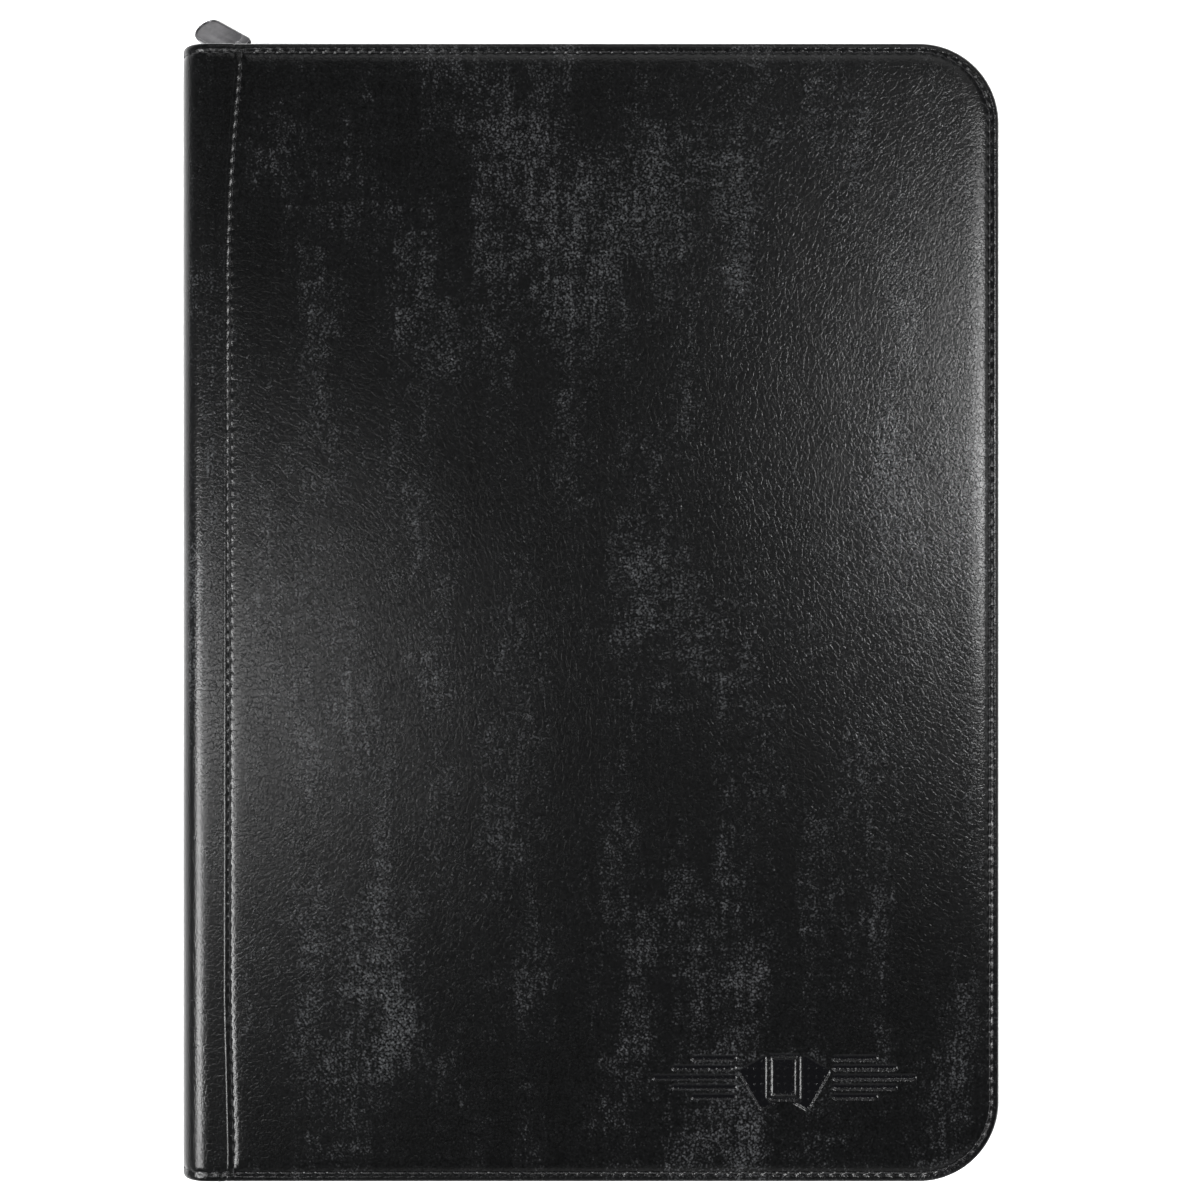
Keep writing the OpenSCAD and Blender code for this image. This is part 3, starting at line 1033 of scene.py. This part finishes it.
def page_sheet(name, material):
    """One page: film that runs out of the binding strip, then a sheet with three by three pockets."""
    maker = MeshMaker()
    low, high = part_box(name)
    middle_z = (low.z + high.z) / 2
    hinge_x = JOINTS[name + "_turn"]["pos_m"][0]
    bend = hinge_x - strip_high.x
    root_end = low.x + ROOT_W
    pocket_half = (high.z - low.z) / 2
    sheet_half = 0.25 * MM
    film_half = 0.125 * MM

    def pocket_lines(first, last):
        """Where the pockets' ramps start and end, along one axis."""
        pitch = (last - first) / POCKETS
        lines = []
        for k in range(POCKETS):
            start = first + k * pitch + POCKET_BORDER / 2
            stop = first + (k + 1) * pitch - POCKET_BORDER / 2
            lines += [(start, 0), (start + POCKET_RAMP, 1), (stop - POCKET_RAMP, 1), (stop, 0)]
        return lines

    xs = [(strip_high.x - 0.6 * MM, 0)] + [(hinge_x + bend * k / 4, 0) for k in range(-4, 5)]
    xs += [(low.x + 5 * MM, 0), (root_end - 0.4 * MM, 0), (root_end, 0)]
    xs += pocket_lines(root_end - 0.5 * MM, high.x) + [(high.x, 0)]
    ys = [(low.y, 0), *pocket_lines(low.y, high.y), (high.y, 0)]
    faces = []
    for face in (-1, 1):
        rows = []
        for x, x_raised in xs:
            half = film_half if x < root_end else sheet_half
            row = []
            for y, y_raised in ys:
                raised = x_raised and y_raised
                row.append(maker.add(x, y, middle_z + face * (pocket_half if raised else half)))
                maker.marks[row[-1]] = 1.0 if raised else 0.0
            rows.append(row)
        faces.append(rows)
    maker.sheet(*faces)
    return maker.build(name + "_pockets", material, 8)


RIB_H = 0.3 * MM


def binding_ribs(material):
    """The strip that the pages are welded to, with a rounded rib at each page's root."""
    maker = MeshMaker()
    per_page = 8
    ribs = len(PAGES)
    count = per_page * ribs
    reach = strip_high.y
    section = [(strip_low.x, strip_low.z)]
    for k in range(count + 1):
        z = strip_low.z + (strip_high.z - strip_low.z) * k / count
        rib = RIB_H * (1 - math.cos(2 * math.pi * k / per_page)) / 2
        section.append((strip_high.x - RIB_H + rib, z))
    section.append((strip_low.x, strip_high.z))
    maker.bar([[maker.add(x, y, z) for y in (-reach, reach)] for x, z in section])
    return maker.build("binding_strip_ribs", material)


# ---------------------------------------------------------------- materials
class Shader:
    """A material's node tree, with short calls for the nodes that the materials share."""

    def __init__(self, name):
        self.material = bpy.data.materials.new(name)
        self.material.use_nodes = True
        self.tree = self.material.node_tree
        self.surface = self.tree.nodes["Principled BSDF"]
        self.place = self.tree.nodes.new("ShaderNodeTexCoord").outputs["Object"]

    def put(self, socket, value):
        """Links another node's output to an input, or sets the input to a value."""
        if isinstance(value, bpy.types.NodeSocket):
            self.tree.links.new(value, socket)
        else:
            socket.default_value = value

    def set(self, **values):
        """Puts values or outputs into the surface's inputs."""
        for name, value in values.items():
            self.put(self.surface.inputs[name.replace("_", " ")], value)

    def node(self, kind, **values):
        """A new node, with values or outputs put into its inputs."""
        node = self.tree.nodes.new("ShaderNode" + kind)
        for name, value in values.items():
            self.put(node.inputs[name], value)
        return node

    def noise(self, scale, detail=3.0, roughness=0.5, stretch=(1, 1, 1), distortion=0.0):
        """Noise over the object's coordinates, stretched first: larger numbers make finer detail."""
        place = self.node("Mapping", Vector=self.place, Scale=stretch).outputs["Vector"]
        node = self.node("TexNoise", Vector=place, Scale=scale, Detail=detail, Roughness=roughness)
        self.put(node.inputs["Distortion"], distortion)
        return node.outputs["Fac"]

    def cells(self, scale, feature="F1", warp=0.0):
        """Cells of that many to a metre, their places warped by up to that many metres."""
        warping = self.node("TexNoise", Vector=self.place, Scale=scale * 0.6).outputs["Color"]
        place = self.math("MULTIPLY_ADD", warping, (warp, warp, warp), self.place, kind="VectorMath")
        node = self.node("TexVoronoi", Vector=place, Scale=scale)
        node.feature = feature
        return node.outputs["Distance"]

    def bands(self, scale, direction, distortion=0.0):
        node = self.node("TexWave", Vector=self.place, Scale=scale, Distortion=distortion)
        node.bands_direction = direction
        return node.outputs["Fac"]

    def ramp(self, value, stops):
        """A colour ramp of (place, colour) stops; a colour may be one grey number."""
        node = self.node("ValToRGB", Fac=value)
        elements = node.color_ramp.elements
        while len(elements) < len(stops):
            elements.new(0.5)
        for element, (position, colour) in zip(elements, stops):
            element.position = position
            colour = (colour,) * 3 if isinstance(colour, float) else colour
            element.color = (*colour, 1)
        return node.outputs["Color"]

    def math(self, operation, *values, kind="Math"):
        """What a maths node makes of its inputs, given in their order."""
        node = self.node(kind)
        node.operation = operation
        for socket, value in zip(node.inputs, values):
            self.put(socket, value)
        return node.outputs[0]

    def weighted(self, *shares):
        """The sum of (value, weight) pairs."""
        total = 0.0
        for value, weight in shares:
            total = self.math("ADD", self.math("MULTIPLY", value, weight), total)
        return total

    def mark(self):
        """The mark that the mesh's points carry."""
        node = self.node("Attribute")
        node.attribute_name = "mark"
        return node.outputs["Fac"]

    def mix(self, factor, first, second):
        node = self.node("Mix")
        node.data_type = "RGBA"
        sockets = {socket.identifier: socket for socket in [*node.inputs, *node.outputs]}
        self.put(sockets["Factor_Float"], factor)
        for name, value in (("A_Color", first), ("B_Color", second)):
            self.put(sockets[name], (*value, 1) if isinstance(value, tuple) else value)
        return sockets["Result_Color"]

    def bump(self, height, distance, strength=1.0, under=None):
        """The surface's normal over a height, on top of another normal if there is one."""
        node = self.node("Bump", Height=height, Distance=distance, Strength=strength)
        if under is not None:
            self.put(node.inputs["Normal"], under)
        return node.outputs["Normal"]

    def finish(self, colour, roughness, normal=None):
        self.set(Base_Color=colour, Roughness=roughness)
        if normal is not None:
            self.set(Normal=normal)
        return self.material


def leatherette_material():
    """Black leatherette: a cloudy finish brushed along the spine, pebbled grain and fine creases."""
    s = Shader("leatherette")
    s.set(Specular_IOR_Level=0.12)
    streaks = s.noise(70, 7, 0.62, (1.0, 0.24, 1.0), 0.15)
    clouds = s.noise(20, 4, 0.55, (1.0, 0.6, 1.0))
    brushed = s.noise(420, 4, 0.65, (1.0, 0.2, 1.0))
    across = s.noise(260, 4, 0.65, (0.3, 1.0, 1.0))
    worn = s.weighted((streaks, 0.36), (clouds, 0.26), (brushed, 0.2), (across, 0.18))
    pebbles = s.ramp(s.cells(1150, warp=0.0006), [(0.1, 1.0), (0.62, 0.0)])
    speckle = s.noise(1500, 3, 0.65)
    creases = s.ramp(s.cells(560, "DISTANCE_TO_EDGE", warp=0.0018), [(0.0, 0.0), (0.1, 1.0)])
    speckle = s.ramp(speckle, [(0.35, 0.0), (0.68, 1.0)])
    tops = s.weighted((pebbles, 0.4), (speckle, 0.44), (creases, 0.16))
    tone = s.math("MULTIPLY", s.ramp(worn, [(0.4, 0.12), (0.5, 0.29), (0.6, 0.6)]), tops)
    colour = s.ramp(tone, [(0.0, (0.0004, 0.0004, 0.0004)), (0.2, (0.0034, 0.0035, 0.0036)),
                           (0.7, (0.06, 0.0615, 0.064))])
    # Painted shade: the mark paints the needle holes dark, as the mesh has no hollows there, and also
    # darkens the pressed emblem.
    colour = s.mix(s.mark(), colour, (0.0015, 0.0015, 0.0018))
    normal = s.bump(creases, 0.00006, 0.2)
    normal = s.bump(tops, 0.0001, 0.34, normal)
    roughness = s.ramp(worn, [(0.42, 0.22), (0.58, 0.165)])
    return s.finish(colour, roughness, normal)


def thread_material():
    """Black bonded thread, twisted."""
    s = Shader("thread")
    s.set(Specular_IOR_Level=0.18, Sheen_Weight=0.02, Sheen_Roughness=0.4)
    twist = s.bands(900, "DIAGONAL", 0.4)
    colour = s.ramp(s.noise(260, 3, 0.6), [(0.35, (0.0015, 0.0015, 0.0016)), (0.7, (0.007, 0.007, 0.0075))])
    roughness = s.ramp(twist, [(0.0, 0.38), (1.0, 0.6)])
    return s.finish(colour, roughness, s.bump(twist, 0.00012, 0.8))


def woven(name, dark, light, threads, diagonal):
    """Plain or herringbone cloth: threads is how many there are to a metre."""
    s = Shader(name)
    s.set(Specular_IOR_Level=0.2, Sheen_Weight=0.05, Sheen_Roughness=0.5)
    warp = s.bands(threads, "DIAGONAL" if diagonal else "X", 0.3)
    weft = s.bands(threads * 0.8, "Y", 0.3)
    upright = s.bands(threads * 0.8, "Z", 0.3)
    weave = s.math("MULTIPLY", s.math("ADD", warp, s.math("ADD", weft, upright)), 0.33)
    shade = s.weighted((weave, 0.7), (s.noise(120, 4, 0.6), 0.3))
    colour = s.ramp(shade, [(0.25, dark), (0.75, light)])
    roughness = s.ramp(weave, [(0.0, 0.9), (1.0, 0.7)])
    return s.finish(colour, roughness, s.bump(weave, 0.00015, 0.8))


def coil_material():
    """Black nylon monofilament."""
    s = Shader("zip_coil")
    s.set(Specular_IOR_Level=0.5, Coat_Weight=0.15, Coat_Roughness=0.25)
    shade = s.noise(700, 3, 0.5)
    colour = s.ramp(shade, [(0.3, (0.008, 0.008, 0.0085)), (0.7, (0.02, 0.02, 0.021))])
    roughness = s.ramp(shade, [(0.3, 0.28), (0.7, 0.42)])
    return s.finish(colour, roughness, s.bump(shade, 0.00005, 0.5))


def gunmetal_material():
    """Satin gunmetal plating, faintly brushed along the tab."""
    s = Shader("zip_metal")
    s.set(Metallic=1.0, Specular_IOR_Level=0.5)
    brushed = s.noise(900, 4, 0.6, (1.0, 1.0, 0.25))
    worn = s.noise(160, 4, 0.6)
    colour = s.ramp(worn, [(0.3, (0.036, 0.035, 0.037)), (0.7, (0.07, 0.068, 0.071))])
    roughness = s.ramp(brushed, [(0.3, 0.3), (0.7, 0.44)])
    return s.finish(colour, roughness, s.bump(brushed, 0.00003, 0.6))


def page_material():
    """Clear film over black backing: glossy, wavy pockets between matt, ribbed welds."""
    s = Shader("page_film")
    s.set(Specular_IOR_Level=0.5, Coat_Roughness=0.12)
    pocket = s.ramp(s.mark(), [(0.6, 0.0), (0.95, 1.0)])
    waviness = s.noise(26, 3, 0.5)
    cloud = s.noise(300, 4, 0.6)
    backing = s.ramp(cloud, [(0.3, (0.011, 0.011, 0.0115)), (0.7, (0.019, 0.019, 0.02))])
    weld = s.ramp(cloud, [(0.3, (0.02, 0.02, 0.021)), (0.7, (0.034, 0.034, 0.036))])
    colour = s.mix(pocket, weld, backing)
    roughness = s.ramp(pocket, [(0.0, 0.55), (1.0, 0.22)])
    ribs = s.math("MULTIPLY", s.bands(330, "DIAGONAL"), s.ramp(pocket, [(0.0, 1.0), (1.0, 0.0)]))
    normal = s.bump(waviness, 0.0012, 0.3)
    normal = s.bump(ribs, 0.00012, 0.6, normal)
    return s.finish(colour, roughness, normal)


def hidden_layer_material(name, dark, light, scale, depth):
    """Foam or pressed board: speckled, dull and pitted."""
    s = Shader(name)
    s.set(Specular_IOR_Level=0.2)
    pits = s.noise(scale, 5, 0.7)
    colour = s.ramp(pits, [(0.3, dark), (0.7, light)])
    roughness = s.ramp(pits, [(0.3, 0.95), (0.7, 0.85)])
    return s.finish(colour, roughness, s.bump(pits, depth, 0.8))


def floor_material():
    s = Shader("floor")
    s.set(Specular_IOR_Level=0.1)
    shade = s.noise(3, 2, 0.5)
    colour = s.ramp(shade, [(0.0, 0.86), (1.0, 0.9)])
    roughness = s.ramp(shade, [(0.0, 0.8), (1.0, 0.9)])
    return s.finish(colour, roughness)


# ---------------------------------------------------------------- assembly
def make_covers(leather, thread, lining_cloth):
    for side in ("back", "front"):
        body = f"{side}_cover"
        leather_piece = dress(cover_leather(side, leather), body, "leatherette", f"{side}_skin")
        dress(cover_stitches(side, thread), body, "thread")
        lining = dress(cover_lining(side, lining_cloth), body, "lining", f"{side}_lining")


def make_spine(leather, thread, lining_cloth, strip_material):
    bend_with(spine_wrap("back", leather), "back", "leatherette", "spine_skin")
    bend_with(spine_wrap("front", leather), "front", "leatherette", "spine_skin")
    for side in ("back", "front"):
        bend_with(wrap_stitches(side, thread), side, "thread")
        hinge = bend_with(hinge_lining(side, lining_cloth), side, "lining")
    lining = dress(spine_lining(lining_cloth), "spine", "lining", "spine_lining")
    dress(binding_ribs(strip_material), "spine", "lining", "binding_strip")


def make_zip(tape_cloth, coil, metal):
    for side in ("back", "front"):
        body = f"{side}_cover"
        tape, length = zip_tape(side, tape_cloth)
        dress(tape, body, "zip_tape", f"{side}_zip_tape")
        dress(coil_teeth(side, coil), body, "zip_coil", f"{side}_zip_coil")
        for end in (-1, 1):
            name = "top_gusset" if end > 0 else "bottom_gusset"
            bend_with(gusset(side, end, tape_cloth), side, "zip_tape", name)
    for stop in ("back_top_stop", "bottom_stop", "front_top_stop"):
        body = "front_cover" if stop == "front_top_stop" else "back_cover"
        low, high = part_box(stop)
        dress(finish_mesh(stop + "_clamp", block(low, high, 0.3 * MM), metal), body, "zip_metal", stop)


def make_slider(metal):
    dress(finish_mesh("slider_casting", slider_mesh(), metal, 40), "zip_slider", "zip_metal", "slider_body")
    dress(finish_mesh("slider_arch", bail_mesh(), metal, 40), "zip_slider", "zip_metal", "slider_bail")
    dress(ring_wire(metal), "pull_ring", "zip_metal", "pull_ring")
    dress(finish_mesh("pull_tab_plate", tab_mesh(), metal, 40), "pull_tab", "zip_metal", "pull_tab")


def make_pages(film):
    for name in PAGES:
        page = page_sheet(name, film)
        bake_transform(page)
        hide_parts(name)


def dress_hidden_layers(foam, board):
    """The foam and board inside the covers stay as the CAD has them."""
    for name, node in frame["nodes"].items():
        material = foam if name.endswith("_foam") else board if name.endswith("_board") else None
        if material:
            node.data.materials.clear()
            node.data.materials.append(material)


FLOOR_R = 1.4
FLOOR_Z = -0.4 * MM


def make_surround():
    """A dark ceiling over pale walls, so that the flat cover stays black but its edges catch light."""
    world = bpy.data.worlds.new("surround")
    world.use_nodes = True
    tree = world.node_tree
    direction = tree.nodes.new("ShaderNodeTexCoord").outputs["Generated"]
    split = tree.nodes.new("ShaderNodeSeparateXYZ")
    ramp = tree.nodes.new("ShaderNodeValToRGB")
    tree.links.new(direction, split.inputs["Vector"])
    tree.links.new(split.outputs["Z"], ramp.inputs["Fac"])
    tree.links.new(ramp.outputs["Color"], tree.nodes["Background"].inputs["Color"])
    walls, ceiling = ramp.color_ramp.elements
    walls.position, walls.color = 0.04, (0.85, 0.87, 0.9, 1)
    ceiling.position, ceiling.color = 0.55, (0.07, 0.072, 0.078, 1)
    bpy.context.scene.world = world


def make_stage():
    """A plain pale floor, the surround and the soft lights.

    The two glows lie just beyond where the open edge and the spine mirror the camera.
    """
    maker = MeshMaker()
    maker.faces.append([maker.add(x, y, FLOOR_Z) for x, y in arc_points((0, 0), FLOOR_R, 0, 355, 71)])
    maker.build("floor", floor_material())
    make_surround()
    soft_light("right_glow", (0.55, 0.16, 1.15), 0.34, 0.24, 18)
    soft_light("left_glow", (-0.56, -0.12, 1.15), 0.14, 0.6, 8)
    soft_light("spine_softbox", (-0.9, -0.3, 0.85), 0.6, 0.3, 34)
    soft_light("side_softbox", (1.15, 0.1, 0.9), 0.7, 0.7, 5)
    soft_light("far_softbox", (0.2, 1.05, 1.0), 1.2, 0.7, 8)
    soft_light("near_softbox", (0.3, -1.2, 0.9), 1.2, 0.7, 3)


def soft_light(name, place, width, height, power):
    """A rectangular light that faces the binder."""
    light = bpy.data.lights.new(name, "AREA")
    light.shape = "RECTANGLE"
    light.size = width
    light.size_y = height
    light.energy = power
    lamp = bpy.data.objects.new(name, light)
    bpy.context.scene.collection.objects.link(lamp)
    lamp.location = place
    lamp.rotation_mode = "QUATERNION"
    lamp.rotation_quaternion = Vector(place).to_track_quat("Z", "Y")


CAMERA_HEIGHT = 600 * MM         # above the front cover
CAMERA_X, CAMERA_Y = 3.6 * MM, 3.9 * MM
SENSOR_WIDTH = 36                # in mm, as the lens is
LENS = 57.9


def make_camera():
    """Straight above the front cover, as far off as the picture's perspective says."""
    data = bpy.data.cameras.new("camera")
    data.sensor_width = SENSOR_WIDTH
    data.lens = LENS
    camera = bpy.data.objects.new("camera", data)
    bpy.context.scene.collection.objects.link(camera)
    camera.location = (CAMERA_X, CAMERA_Y, TOP_Z + CAMERA_HEIGHT)
    bpy.context.scene.camera = camera
    bpy.context.scene.view_settings.view_transform = "Standard"


leather = leatherette_material()
thread = thread_material()
cloth = woven("lining", (0.005, 0.005, 0.0055), (0.02, 0.02, 0.022), 420, False)
tape_cloth = woven("zip_tape", (0.003, 0.003, 0.0035), (0.014, 0.014, 0.015), 520, True)
metal = gunmetal_material()
make_covers(leather, thread, cloth)
strip_cloth = woven("binding_strip", (0.012, 0.012, 0.013), (0.035, 0.035, 0.038), 300, False)
make_spine(leather, thread, cloth, strip_cloth)
make_zip(tape_cloth, coil_material(), metal)
make_slider(metal)
make_pages(page_material())
dress_hidden_layers(
    hidden_layer_material("foam", (0.02, 0.02, 0.02), (0.09, 0.09, 0.09), 900, 0.0002),
    hidden_layer_material("board", (0.16, 0.13, 0.1), (0.3, 0.25, 0.19), 300, 0.0001),
)
make_stage()
make_camera()
